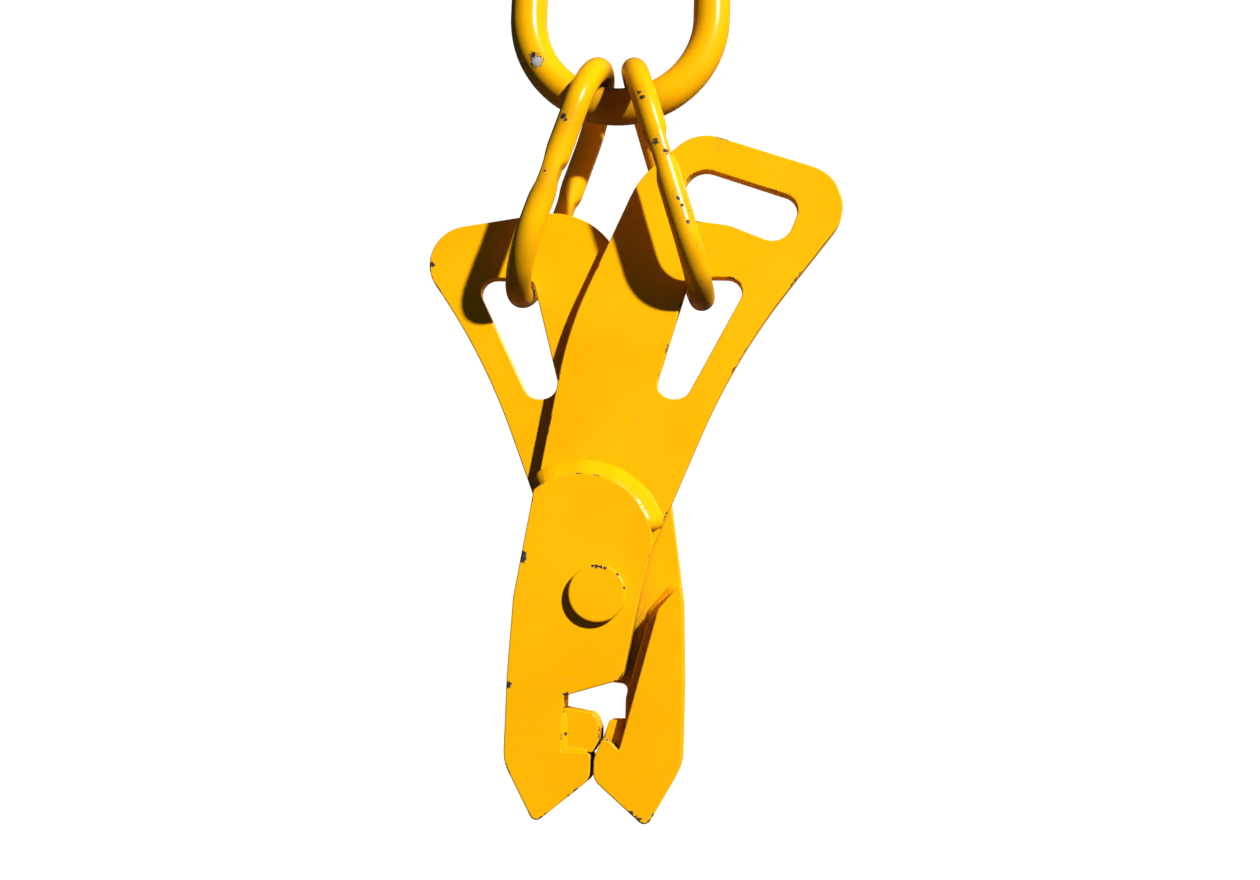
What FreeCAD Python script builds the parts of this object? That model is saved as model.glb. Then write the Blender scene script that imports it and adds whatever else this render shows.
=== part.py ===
"""Rail lifting tongs: two crossed plate arms on one pin, hung by two links from a master link.

Millimetres, +Z up, -Y towards the viewer. The origin is the crown of the master link, where a
crane hook bears. Arm pieces are drawn about the pivot axis, for the arm with the hand hole, whose
jaw is on the -X side. The plain arm's pieces are drawn the same way and given half a turn about Z.
"""
import FreeCAD
import Part
import Sketcher
import math
import os

# Sizes that stand alone.
SIZES = {
    # Master link and sub-links
    "ring_bar": 38.0,
    "ring_inner_width": 153.0,
    "ring_inner_length": 272.0,
    "link_bar": 26.0,
    "link_inner_width": 105.0,
    "link_inner_length": 220.0,
    "link_flat_thickness": 19.0,
    "link_flat_length": 38.0,
    "link_flat_ramp": 14.0,
    "link_offset": 17.0,
    "seat_gap": 0.5,
    # Plates, counted outwards from the middle of the pack
    "arm_gap": 2.0,
    "arm_thickness": 16.0,
    "cheek_thickness": 16.0,
    # Pivot
    "pin_diameter": 48.0,
    "pin_fit": 0.05,
    "pin_head_diameter": 56.0,
    "pin_head_thickness": 9.0,
    "pin_head_chamfer": 1.5,
    "pin_end_length": 17.0,
    "washer_diameter": 88.0,
    "washer_thickness": 8.0,
    "spacer_diameter": 88.0,
    "split_pin_diameter": 8.0,
    "split_pin_hole_gap": 0.25,
    "split_pin_reach": 36.0,
    "split_pin_eye": 9.0,
    # Slot that a sub-link hangs in
    "slot_top_z": 320.0,
    "slot_bottom_z": 195.5,
    "slot_top_inner_x": 80.5,
    "slot_top_outer_x": 143.0,
    "slot_bottom_inner_x": 46.0,
    "slot_bottom_outer_x": 79.5,
    "slot_inner_radius": 12.0,
    "slot_outer_radius": 15.0,
    "slot_bottom_radius": 16.0,
    # Jaw
    "meeting_gap": 3.0,
    "lip_top_z": -151.5,
    "lip_upper_radius": 5.0,
    "lip_lower_z": -177.0,
    "lip_lower_radius": 17.0,
    "cheek_arc_radius": 71.5,
    "tooth_recess": 2.0,
    "plain_root_z": -86.5,
    "plain_root_radius": 6.0,
    "handle_tooth_root_z": -110.0,
    "handle_tooth_nose_x": 6.5,
    "handle_tooth_nose_top_z": -129.0,
    "handle_tooth_nose_bottom_z": -139.5,
    "handle_tooth_nose_radius": 6.0,
    "handle_tooth_heel_x": 0.0,
    "plain_tooth_root_z": -120.5,
    "plain_tooth_heel_x": -4.5,
    "guard_top_z": 12.5,
    "guard_edge_x": -59.0,
    "guard_nose_z": -158.0,
    "guard_nose_radius": 12.0,
    # Welds
    "cheek_weld_leg": 15.0,
    "cheek_weld_start": 20.0,
    "cheek_weld_sweep": 100.0,
    "tooth_weld_width": 5.0,
    "guard_weld_leg": 8.5,
    "guard_weld_margin": 3.0,
}

# Corners of the plates about the pivot: x, z and the radius that rounds the corner, 0 for sharp.
CORNERS = {
    "neck": (-66.5, 100.0, 0),
    "bend": (-40.0, 265.0, 380.0),
    "shoulder": (26.5, 422.5, 95.0),
    "crest": (84.0, 473.0, 43.0),
    "handle_end": (260.0, 418.0, 43.0),
    "plain_inner": (16.5, 398.5, 75.0),
    "plain_outer": (218.5, 363.0, 40.0),
    "waist": (128.0, 239.5, 660.0),
    "cheek_side": (52.0, 49.5, 0),
    "side_bend": (41.0, 0.0, 0),
    "cavity_corner": (26.5, -81.5, 11.5),
    "cavity_root": (-29.5, -99.0, 5.0),
    "tip": (-53.5, -220.5, 7.0),
    "heel": (-85.5, -163.0, 43.0),
    "hip": (-85.5, -81.0, 0),
    "flank": (-82.5, -5.0, 0),
    "guard_root": (-47.5, -27.5, 0),
    "guard_side": (-36.5, -70.5, 0),
    "vee_outer": (-25.5, -148.5, 0),
    "vee_inner": (-10.0, -135.0, 3.0),
    "handle_tooth_crest": (0.5, -114.5, 8.0),
    "plain_tooth_crest": (-14.5, -120.7, 3.0),
    "hand_top_left": (74.5, 439.0, 22.0),
    "hand_top_right": (192.5, 401.0, 17.0),
    "hand_bottom_right": (174.5, 352.5, 21.0),
    "hand_bottom_middle": (119.0, 374.0, 57.0),
    "hand_bottom_left": (71.5, 380.0, 17.0),
}


def size(name):
    """Refers to one cell of the sheet."""
    return "sizes." + name


def corner(name):
    """Gives the expressions for a corner's x, z and rounding radius."""
    rounded = CORNERS[name][2] > 0
    return (size(name + "_x"), size(name + "_z"), size(name + "_radius") if rounded else None)


# Depths, measured along Y from the middle of the pack.
PLATE_INNER = "(sizes.arm_gap / 2)"
PLATE_OUTER = "(sizes.arm_gap / 2 + sizes.arm_thickness)"
PACK_OUTER = "(sizes.arm_gap / 2 + sizes.arm_thickness + sizes.cheek_thickness)"
WASHER_BACK = f"({PACK_OUTER} + sizes.washer_thickness)"
SPLIT_PIN_Y = f"({WASHER_BACK} + sizes.split_pin_diameter / 2 + sizes.split_pin_hole_gap)"

# Where a sub-link's lower bar seats in its slot, about the pivot. It lies as far from the slot's
# top as from its inner edge, and its bend meets them at the plate's outer face.
LINK_BEND = "(sizes.link_inner_width / 2)"
LINK_RISE = f"({LINK_BEND} - sqrt({LINK_BEND} ^ 2 - {PLATE_OUTER} ^ 2))"
SLOT_SLOPE = "((sizes.slot_top_inner_x - sizes.slot_bottom_inner_x)"
SLOT_SLOPE += " / (sizes.slot_top_z - sizes.slot_bottom_z))"
SEAT_DROP = f"(sizes.link_bar / 2 + sizes.seat_gap + {LINK_RISE})"
SEAT_X = f"(sizes.slot_top_inner_x + {SEAT_DROP} * (sqrt(1 + {SLOT_SLOPE} ^ 2) - {SLOT_SLOPE}))"
SEAT_Z = f"(sizes.slot_top_z - {SEAT_DROP})"

# Heights in the whole object's frame, from the hook's seat down to the pivot.
RING_CENTRE_Z = "(sizes.ring_inner_width / 2 - sizes.ring_inner_length)"
CROWN_REACH = "(sizes.ring_inner_width / 2 - sizes.link_bar / 2 - sizes.seat_gap)"
CROWN_Z = f"({RING_CENTRE_Z} - sqrt({CROWN_REACH} ^ 2 - sizes.link_offset ^ 2))"
LINK_PITCH = "(sizes.link_inner_length + sizes.link_bar)"
LINK_SPREAD = f"({SEAT_X} - sizes.link_offset)"
LINK_DROP = f"sqrt({LINK_PITCH} ^ 2 - {LINK_SPREAD} ^ 2)"
PIVOT_Z = f"({CROWN_Z} - {LINK_DROP} - {SEAT_Z})"

# Jaw lines that several pieces share.
MEETING_X = "(-sizes.meeting_gap / 2)"
ROOT_X = "sizes.cavity_root_x"
LIP_TOP = "sizes.lip_top_z"
FLANK_SLOPE = "((sizes.neck_x - sizes.flank_x) / (sizes.neck_z - sizes.flank_z))"
GUARD_TOP_X = f"(sizes.flank_x + (sizes.guard_top_z - sizes.flank_z) * {FLANK_SLOPE})"
GUARD_RUN = f"(sizes.guard_root_x - {GUARD_TOP_X})"
GUARD_FALL = "(sizes.guard_root_z - sizes.guard_top_z)"
GUARD_EDGE_Z = f"(sizes.guard_top_z + (sizes.guard_edge_x - {GUARD_TOP_X}) * {GUARD_FALL} / {GUARD_RUN})"
GUARD_TOP = (GUARD_TOP_X, size("guard_top_z"), None)

# Outlines, each a closed run of corners.
LOWER_JAW = [
    (ROOT_X, LIP_TOP, None),
    (MEETING_X, LIP_TOP, size("lip_upper_radius")),
    (MEETING_X, size("lip_lower_z"), size("lip_lower_radius")),
    corner("tip"),
    corner("heel"),
    corner("hip"),
    corner("flank"),
]
CAVITY_EDGE = [corner(name) for name in ("cheek_side", "side_bend", "cavity_corner")]
CAVITY_SIDE = {
    "handle": CAVITY_EDGE + [corner("cavity_root")],
    "plain": CAVITY_EDGE + [(ROOT_X, size("plain_root_z"), size("plain_root_radius"))],
}
ARM_ENDS = {
    "handle": [corner(name) for name in ("neck", "bend", "shoulder", "crest", "handle_end", "waist")],
    "plain": [corner(name) for name in ("neck", "bend", "plain_inner", "plain_outer", "waist")],
}
SPACER = [GUARD_TOP, corner("guard_root"), corner("guard_side")]
SPACER += [(ROOT_X, size("cavity_root_z"), None)] + LOWER_JAW
GUARD = [
    GUARD_TOP,
    (size("guard_edge_x"), GUARD_EDGE_Z, None),
    corner("vee_outer"),
    corner("vee_inner"),
    (MEETING_X, size("guard_nose_z"), size("guard_nose_radius")),
] + LOWER_JAW[2:]
NOSE_X = size("handle_tooth_nose_x")
NOSE_RADIUS = size("handle_tooth_nose_radius")
TOOTH = {
    "handle": [
        (ROOT_X, size("handle_tooth_root_z"), None),
        corner("handle_tooth_crest"),
        (NOSE_X, size("handle_tooth_nose_top_z"), NOSE_RADIUS),
        (NOSE_X, size("handle_tooth_nose_bottom_z"), NOSE_RADIUS),
        (size("handle_tooth_heel_x"), LIP_TOP, None),
        (ROOT_X, LIP_TOP, None),
    ],
    "plain": [
        (ROOT_X, size("plain_tooth_root_z"), None),
        corner("plain_tooth_crest"),
        (size("plain_tooth_heel_x"), LIP_TOP, None),
        (ROOT_X, LIP_TOP, None),
    ],
}


def tooth_weld(side):
    """Gives the outline of the weld that runs down a tooth's root and along its foot."""
    width = size("tooth_weld_width")
    inner_x = f"({ROOT_X} + {width})"
    inner_z = f"({LIP_TOP} + {width})"
    head_z = f"(sizes.{side}_tooth_root_z - {width})"
    end_x = f"(sizes.{side}_tooth_heel_x - {width})"
    return [
        (ROOT_X, head_z, None),
        (inner_x, head_z, None),
        (inner_x, inner_z, None),
        (end_x, inner_z, None),
        (end_x, LIP_TOP, None),
        (ROOT_X, LIP_TOP, None),
    ]


SLOT = [
    (size("slot_top_inner_x"), size("slot_top_z"), size("slot_inner_radius")),
    (size("slot_top_outer_x"), size("slot_top_z"), size("slot_outer_radius")),
    (size("slot_bottom_outer_x"), size("slot_bottom_z"), size("slot_bottom_radius")),
    (size("slot_bottom_inner_x"), size("slot_bottom_z"), size("slot_bottom_radius")),
]
HAND_CORNERS = ("top_left", "top_right", "bottom_right", "bottom_middle", "bottom_left")
HAND_HOLE = [corner("hand_" + name) for name in HAND_CORNERS]


def make_sheet(doc):
    """Writes every driving dimension into the sheet, one named cell each."""
    values = dict(SIZES)
    for name, (x, z, radius) in CORNERS.items():
        values[name + "_x"] = x
        values[name + "_z"] = z
        if radius > 0:
            values[name + "_radius"] = radius
    sheet = doc.addObject("Spreadsheet::Sheet", "sizes")
    for row, (name, value) in enumerate(values.items(), start=1):
        sheet.set(f"A{row}", name)
        sheet.set(f"B{row}", str(value))
        sheet.setAlias(f"B{row}", name)
    doc.recompute()


def new_body(doc, label):
    """Starts an empty sub-part under its own name."""
    body = doc.addObject("PartDesign::Body", label)
    body.Label = label
    return body


def new_sketch(body, name, plane):
    """Starts a sketch on one of the body's own origin planes."""
    sketch = body.newObject("Sketcher::SketchObject", name)
    support = [item for item in body.Origin.OriginFeatures if item.Role == plane]
    sketch.AttachmentSupport = [(support[0], "")]
    sketch.MapMode = "FlatFace"
    return sketch


def hold(sketch, kind, places, expression):
    """Adds one dimension to a sketch and ties it to an expression."""
    start = 1.0
    index = sketch.addConstraint(Sketcher.Constraint(kind, *places, start))
    sketch.setExpression(f"Constraints[{index}]", expression)


def hold_point(sketch, edge, end, x, z):
    """Ties a point to its two distances from the sketch's origin."""
    hold(sketch, "DistanceX", (-1, 1, edge, end), x)
    hold(sketch, "DistanceY", (-1, 1, edge, end), z)


def add_outline(sketch, corners, arc_radius=None):
    """Draws a closed outline of straight edges; with arc_radius, the first edge is an arc."""
    first_line = 1 if arc_radius else 0
    base = sketch.GeometryCount
    count = len(corners)
    lines = {}
    for index in range(first_line, count):
        turn = 2 * math.pi * index / count
        after = 2 * math.pi * (index + 1) / count
        start = FreeCAD.Vector(math.sin(turn), math.cos(turn), 0)
        end = FreeCAD.Vector(math.sin(after), math.cos(after), 0)
        lines[index] = sketch.addGeometry(Part.LineSegment(start, end))
    for index in range(first_line, count):
        following = (index + 1) % count
        if following in lines:
            joint = Sketcher.Constraint("Coincident", lines[index], 2, lines[following], 1)
            sketch.addConstraint(joint)
        hold_point(sketch, lines[index], 1, corners[index][0], corners[index][1])
    if arc_radius:
        hold_point(sketch, lines[count - 1], 2, corners[0][0], corners[0][1])
        sketch.Document.recompute()
        close_with_arc(sketch, lines[count - 1], lines[1], arc_radius)
    return base


def close_with_arc(sketch, last_line, next_line, radius_expression):
    """Joins the end of one line to the start of another by an arc that bulges upwards."""
    left = sketch.getPoint(last_line, 2)
    right = sketch.getPoint(next_line, 1)
    chord = right - left
    radius = chord.Length
    height = math.sqrt(radius ** 2 - (chord.Length / 2) ** 2)
    down = FreeCAD.Vector(chord.y, -chord.x, 0).normalize()
    centre = (left + right) / 2 + down * height
    rise = [math.atan2(point.y - centre.y, point.x - centre.x) for point in (right, left)]
    circle = Part.Circle(centre, FreeCAD.Vector(0, 0, 1), radius)
    arc = sketch.addGeometry(Part.ArcOfCircle(circle, rise[0], rise[1]))
    sketch.addConstraint(Sketcher.Constraint("Coincident", arc, 1, next_line, 1))
    sketch.addConstraint(Sketcher.Constraint("Coincident", arc, 2, last_line, 2))
    hold(sketch, "Radius", (arc,), radius_expression)


def add_circle(sketch, x, y, radius):
    """Draws a circle whose centre and radius are expressions."""
    circle = Part.Circle(FreeCAD.Vector(0, 0, 0), FreeCAD.Vector(0, 0, 1), 1)
    edge = sketch.addGeometry(circle)
    hold_point(sketch, edge, 3, x, y)
    hold(sketch, "Radius", (edge,), radius)


def add_pad(body, name, sketch, length, symmetric=False):
    """Pads a sketch along its normal."""
    pad = body.newObject("PartDesign::Pad", name)
    pad.Profile = sketch
    pad.setExpression("Length", length)
    if symmetric:
        pad.SideType = "Symmetric"
    body.Document.recompute()
    return pad


def add_cut(body, name, sketch):
    """Cuts a sketch right through the body, and stops if nothing was cut."""
    before = body.Tip.Shape.Volume
    cut = body.newObject("PartDesign::Pocket", name)
    cut.Profile = sketch
    cut.Type = "ThroughAll"
    cut.SideType = "Symmetric"
    body.Document.recompute()
    if not cut.Shape.Volume < before:
        raise RuntimeError(f"{body.Label}: {name} cuts nothing")
    return cut


def corner_edges(shape, points):
    """Names the edges along Y that stand on the given x, z points."""
    reach = 1e-4
    names = []
    for index, edge in enumerate(shape.Edges, start=1):
        ends = [vertex.Point for vertex in edge.Vertexes]
        if len(ends) != 2 or abs(ends[0].y - ends[1].y) < reach:
            continue
        for x, z in points:
            if all(math.hypot(end.x - x, end.z - z) < reach for end in ends):
                names.append(f"Edge{index}")
    return names


def round_corners(body, name, sketch, base, corners):
    """Rounds the upright edges over an outline's corners, one fillet for each radius."""
    groups = {}
    for index, (_, _, radius) in enumerate(corners):
        if radius:
            point = sketch.getPoint(base + index, 1)
            groups.setdefault(radius, []).append((point.x, point.y))
    for number, (radius, points) in enumerate(groups.items(), start=1):
        edges = corner_edges(body.Tip.Shape, points)
        if len(edges) != len(points):
            raise RuntimeError(f"{body.Label}: a corner of {name} was not found")
        fillet = body.newObject("PartDesign::Fillet", f"{name}_round_{number}")
        fillet.Base = (fillet.BaseFeature or body.Tip, edges)
        fillet.setExpression("Radius", radius)
        body.Document.recompute()


def place(body, x, y, z, turned=False):
    """Puts a body at its place; a turned one is also given half a turn about Z."""
    if turned:
        half_turn = 180
        body.Placement.Rotation = FreeCAD.Rotation(FreeCAD.Vector(0, 0, 1), half_turn)
    sign = "-" if turned else ""
    body.setExpression("Placement.Base.x", f"{sign}({x})")
    body.setExpression("Placement.Base.y", f"{sign}({y})")
    body.setExpression("Placement.Base.z", z)


def make_plate(doc, label, corners, thickness, back, turned, holes=(), bored=False, arc=None):
    """Cuts one flat plate: outline, rounded corners, then its openings and the pin's bore."""
    body = new_body(doc, label)
    sketch = new_sketch(body, label + "_outline", "XZ_Plane")
    base = add_outline(sketch, corners, arc)
    doc.recompute()
    add_pad(body, label + "_pad", sketch, thickness)
    rounded = corners
    if arc:
        rounded = corners[1:]
    round_corners(body, label + "_corners", sketch, base, rounded)
    for number, hole in enumerate(holes, start=1):
        name = f"{label}_opening_{number}"
        cut_sketch = new_sketch(body, name + "_outline", "XZ_Plane")
        cut_base = add_outline(cut_sketch, hole)
        doc.recompute()
        add_cut(body, name, cut_sketch)
        round_corners(body, name + "_corners", cut_sketch, cut_base, hole)
    if bored:
        bore = new_sketch(body, label + "_bore_outline", "XZ_Plane")
        add_circle(bore, "0", "0", "sizes.pin_diameter / 2 + sizes.pin_fit")
        doc.recompute()
        add_cut(body, label + "_bore", bore)
    place(body, "0", back, PIVOT_Z, turned)
    return body


def make_cheek_weld(doc, label, turned):
    """Runs a fillet weld round the cheek's arc, drawn about the arc's own centre."""
    body = new_body(doc, label)
    sketch = new_sketch(body, label + "_section", "XY_Plane")
    upward = FreeCAD.Rotation(FreeCAD.Vector(0, -1, 0), 1)
    sketch.AttachmentOffset = FreeCAD.Placement(FreeCAD.Vector(0, 0, 0), upward)
    sketch.setExpression("AttachmentOffset.Rotation.Angle", "sizes.cheek_weld_start")
    radius = size("cheek_arc_radius")
    toe = f"({radius} + sizes.cheek_weld_leg)"
    section = [(radius, "0", None), (toe, "0", None), (radius, "-sizes.cheek_weld_leg", None)]
    add_outline(sketch, section)
    doc.recompute()
    bead = body.newObject("PartDesign::Revolution", label + "_bead")
    bead.Profile = sketch
    bead.ReferenceAxis = (sketch, ["V_Axis"])
    bead.Reversed = True
    bead.setExpression("Angle", "sizes.cheek_weld_sweep")
    doc.recompute()
    run = "(sizes.cheek_side_x - sizes.neck_x)"
    fall = "(sizes.cheek_side_z - sizes.neck_z)"
    chord = f"sqrt({run} ^ 2 + {fall} ^ 2)"
    depth = f"sqrt({radius} ^ 2 - {chord} ^ 2 / 4)"
    centre_x = f"(sizes.neck_x + sizes.cheek_side_x) / 2 + {depth} * {fall} / {chord}"
    centre_z = f"(sizes.neck_z + sizes.cheek_side_z) / 2 - {depth} * {run} / {chord}"
    place(body, centre_x, f"-{PLATE_OUTER}", f"{PIVOT_Z} + {centre_z}", turned)


def make_guard_weld(doc, label, turned):
    """Lays a fillet weld along the jaw spacer's sloping top edge."""
    length = f"sqrt({GUARD_RUN} ^ 2 + {GUARD_FALL} ^ 2)"
    leg = size("guard_weld_leg")
    margin = size("guard_weld_margin")
    body = new_body(doc, label)
    sketch = new_sketch(body, label + "_section", "YZ_Plane")
    about_y = FreeCAD.Rotation(FreeCAD.Vector(1, 0, 0), 1)
    sketch.AttachmentOffset = FreeCAD.Placement(FreeCAD.Vector(0, 0, 0), about_y)
    sketch.setExpression("AttachmentOffset.Rotation.Angle", f"atan2(-{GUARD_FALL}; {GUARD_RUN})")
    add_outline(sketch, [("0", "0", None), (leg, "0", None), ("0", leg, None)])
    doc.recompute()
    add_pad(body, label + "_bead", sketch, f"{length} - 2 * {margin}")
    start_x = f"{GUARD_TOP_X} + {margin} * {GUARD_RUN} / {length}"
    start_z = f"sizes.guard_top_z + {margin} * {GUARD_FALL} / {length}"
    place(body, start_x, f"-{PLATE_INNER}", f"{PIVOT_Z} + {start_z}", turned)


def make_arm(doc, side, turned):
    """Builds all pieces of one arm: plate, cheek, tooth, jaw spacer, guard plate and welds."""
    arm = size("arm_thickness")
    cheek = size("cheek_thickness")
    arc = size("cheek_arc_radius")
    openings = [SLOT]
    if side == "handle":
        openings.append(HAND_HOLE)
    outline = ARM_ENDS[side] + CAVITY_SIDE[side] + LOWER_JAW
    cheek_outline = [corner("neck")] + CAVITY_SIDE[side] + LOWER_JAW
    plate_back = f"-{PLATE_INNER}"
    cheek_back = f"-{PLATE_OUTER}"
    tooth_face = f"({PACK_OUTER} - sizes.tooth_recess)"
    make_plate(doc, side + "_arm_plate", outline, arm, plate_back, turned, openings, True)
    make_plate(doc, side + "_arm_cheek", cheek_outline, cheek, cheek_back, turned, (), True, arc)
    make_cheek_weld(doc, side + "_cheek_weld", turned)
    make_plate(doc, side + "_jaw_tooth", TOOTH[side], f"{tooth_face} + {PLATE_OUTER}", PLATE_OUTER, turned)
    make_plate(doc, side + "_tooth_weld", tooth_weld(side), size("tooth_recess"), f"-{tooth_face}", turned)
    make_plate(doc, side + "_jaw_spacer", SPACER, f"{arm} + sizes.arm_gap", PLATE_OUTER, turned)
    make_plate(doc, side + "_jaw_guard", GUARD, cheek, PACK_OUTER, turned)
    make_guard_weld(doc, side + "_guard_weld", turned)


def add_link_end(body, name, bar, leg, height, downwards):
    """Turns the bar through half a circle at one end of an oblong link."""
    sketch = new_sketch(body, name + "_section", "XY_Plane")
    sketch.setExpression("AttachmentOffset.Base.z", height)
    add_circle(sketch, "0", leg, f"{bar} / 2")
    body.Document.recompute()
    end = body.newObject("PartDesign::Revolution", name)
    end.Profile = sketch
    end.ReferenceAxis = (sketch, ["H_Axis"])
    end.Angle = 180
    end.Reversed = downwards
    body.Document.recompute()


def make_link(doc, label, family):
    """Bends one oblong link, its loop in the YZ plane and its centre at the origin."""
    bar = size(family + "_bar")
    width = size(family + "_inner_width")
    straight = f"(sizes.{family}_inner_length - {width})"
    leg = f"({width} + {bar}) / 2"
    body = new_body(doc, label)
    sketch = new_sketch(body, label + "_legs_section", "XY_Plane")
    for side in ("", "-"):
        add_circle(sketch, "0", f"{side}({leg})", f"{bar} / 2")
    doc.recompute()
    add_pad(body, label + "_legs", sketch, straight, symmetric=True)
    add_link_end(body, label + "_top", bar, leg, f"{straight} / 2", False)
    add_link_end(body, label + "_bottom", bar, leg, f"-{straight} / 2", True)
    return body


def add_link_flats(body):
    """Presses flats into both legs of a sub-link, on the two faces of its loop."""
    inner = "sizes.link_flat_thickness / 2"
    outer = "sizes.link_bar"
    half = "sizes.link_flat_length / 2"
    deep = "(sizes.link_bar - sizes.link_flat_thickness) / 2"
    flare = f"({half} + sizes.link_flat_ramp * ({outer} - {inner}) / ({deep}))"
    for number, side in enumerate(("", "-"), start=1):
        name = f"{body.Label}_flat_{number}"
        sketch = new_sketch(body, name + "_outline", "XZ_Plane")
        near = f"{side}{inner}"
        away = f"{side}{outer}"
        corners = [(near, half, None), (near, f"-{half}", None)]
        corners += [(away, f"-{flare}", None), (away, flare, None)]
        add_outline(sketch, corners)
        body.Document.recompute()
        add_cut(body, name, sketch)


def hang_links(doc):
    """Makes the master link and the two sub-links that run from it to the arms' slots."""
    ring = make_link(doc, "master_link", "ring")
    quarter_turn = 90
    ring.Placement.Rotation = FreeCAD.Rotation(FreeCAD.Vector(0, 0, 1), quarter_turn)
    ring.setExpression("Placement.Base.z", "-sizes.ring_inner_length / 2")
    for label, side in (("left_sub_link", "-"), ("right_sub_link", "")):
        link = make_link(doc, label, "link")
        add_link_flats(link)
        link.Placement.Rotation = FreeCAD.Rotation(FreeCAD.Vector(0, 1, 0), 1)
        lean = f"{side}(-1) * atan2({LINK_SPREAD}; {LINK_DROP})"
        link.setExpression("Placement.Rotation.Angle", lean)
        link.setExpression("Placement.Base.x", f"{side}(sizes.link_offset + {SEAT_X}) / 2")
        link.setExpression("Placement.Base.z", f"{CROWN_Z} - {LINK_DROP} / 2")


def make_pin(doc):
    """Turns the headed pivot pin and drills its tail for the split pin."""
    head = "(sizes.pin_head_diameter / 2)"
    shank = "(sizes.pin_diameter / 2)"
    chamfer = size("pin_head_chamfer")
    face = f"-({PACK_OUTER} + sizes.pin_head_thickness)"
    tail = f"({PACK_OUTER} + sizes.washer_thickness + sizes.pin_end_length)"
    body = new_body(doc, "pivot_pin")
    sketch = new_sketch(body, "pivot_pin_profile", "XY_Plane")
    profile = [
        ("0", face, None),
        (f"{head} - {chamfer}", face, None),
        (head, f"{face} + {chamfer}", None),
        (head, f"-{PACK_OUTER}", None),
        (shank, f"-{PACK_OUTER}", None),
        (shank, f"{tail} - {chamfer}", None),
        (f"{shank} - {chamfer}", tail, None),
        ("0", tail, None),
    ]
    add_outline(sketch, profile)
    doc.recompute()
    turned = body.newObject("PartDesign::Revolution", "pivot_pin_turned")
    turned.Profile = sketch
    turned.ReferenceAxis = (sketch, ["V_Axis"])
    turned.Angle = 360
    doc.recompute()
    hole = new_sketch(body, "pivot_pin_hole_outline", "YZ_Plane")
    add_circle(hole, SPLIT_PIN_Y, "0", "sizes.split_pin_diameter / 2 + sizes.split_pin_hole_gap")
    doc.recompute()
    add_cut(body, "pivot_pin_hole", hole)
    place(body, "0", "0", PIVOT_Z)


def make_washer(doc, label, diameter, thickness, back):
    """Punches one flat washer that fits the pin."""
    body = new_body(doc, label)
    sketch = new_sketch(body, label + "_outline", "XZ_Plane")
    add_circle(sketch, "0", "0", f"{diameter} / 2")
    add_circle(sketch, "0", "0", "sizes.pin_diameter / 2 + sizes.pin_fit")
    doc.recompute()
    add_pad(body, label + "_pad", sketch, thickness)
    place(body, "0", back, PIVOT_Z)


def make_split_pin(doc):
    """Joins the split pin's straight shank to its eye."""
    radius = "sizes.split_pin_diameter / 2"
    reach = size("split_pin_reach")
    shank = doc.addObject("Part::Cylinder", "split_pin_shank")
    shank.setExpression("Radius", radius)
    shank.setExpression("Height", f"2 * {reach}")
    shank.Placement.Rotation = FreeCAD.Rotation(FreeCAD.Vector(0, 1, 0), 90)
    shank.setExpression("Placement.Base.x", f"-{reach}")
    eye = doc.addObject("Part::Torus", "split_pin_loop")
    eye.setExpression("Radius1", "sizes.split_pin_eye")
    eye.setExpression("Radius2", radius)
    eye.Placement.Rotation = FreeCAD.Rotation(FreeCAD.Vector(1, 0, 0), 90)
    eye.setExpression("Placement.Base.x", f"{reach} + sizes.split_pin_eye")
    pin = doc.addObject("Part::Fuse", "split_pin")
    pin.Label = "split_pin"
    pin.Base = shank
    pin.Tool = eye
    place(pin, "0", SPLIT_PIN_Y, PIVOT_Z)
    return pin


def check_document(doc, pieces):
    """Stops if any object failed or any sub-part is not one sound solid."""
    for item in doc.Objects:
        if "Invalid" in item.State or "Error" in item.State:
            raise RuntimeError(f"{item.Label} failed to build")
    for piece in pieces:
        if piece.Shape.isNull() or not piece.Shape.isValid() or len(piece.Shape.Solids) != 1:
            raise RuntimeError(f"{piece.Label} is not one sound solid")


def write_parts(pieces):
    """Writes each sub-part to its own file and prints what it weighs in steel."""
    os.makedirs("parts", exist_ok=True)
    steel = 7.85e-6
    total = 0
    for piece in pieces:
        piece.Shape.exportStep(f"parts/{piece.Label}.step")
        mass = piece.Shape.Volume * steel
        total += mass
        print(f"{piece.Label}: {mass:.3f} kg")
    print(f"{len(pieces)} sub-parts, {total:.2f} kg")


def main():
    """Builds the document, checks it and writes the parts."""
    doc = FreeCAD.newDocument("lifting_tongs")
    make_sheet(doc)
    hang_links(doc)
    make_pin(doc)
    make_washer(doc, "pin_washer", size("washer_diameter"), size("washer_thickness"), WASHER_BACK)
    make_washer(doc, "arm_spacer", size("spacer_diameter"), size("arm_gap"), PLATE_INNER)
    split_pin = make_split_pin(doc)
    make_arm(doc, "handle", False)
    make_arm(doc, "plain", True)
    doc.recompute()
    pieces = [item for item in doc.Objects if item.TypeId == "PartDesign::Body"] + [split_pin]
    check_document(doc, pieces)
    write_parts(pieces)


main()
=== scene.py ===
# %% [markdown]
# # Rail lifting tongs
# Two thick steel arms cross on one pin. A big ring and two oblong links carry them, and all of it
# is painted in one coat of yellow enamel. This lesson dresses the tongs piece by piece. The solids
# are loaded first, because they say where every piece sits and which body it moves with.

# %% Load the solids
from math import ceil, cos, hypot, pi, radians, sin, sqrt

import bmesh
import bpy
from mathutils import Matrix, Vector
from mathutils.geometry import delaunay_2d_cdt


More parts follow.
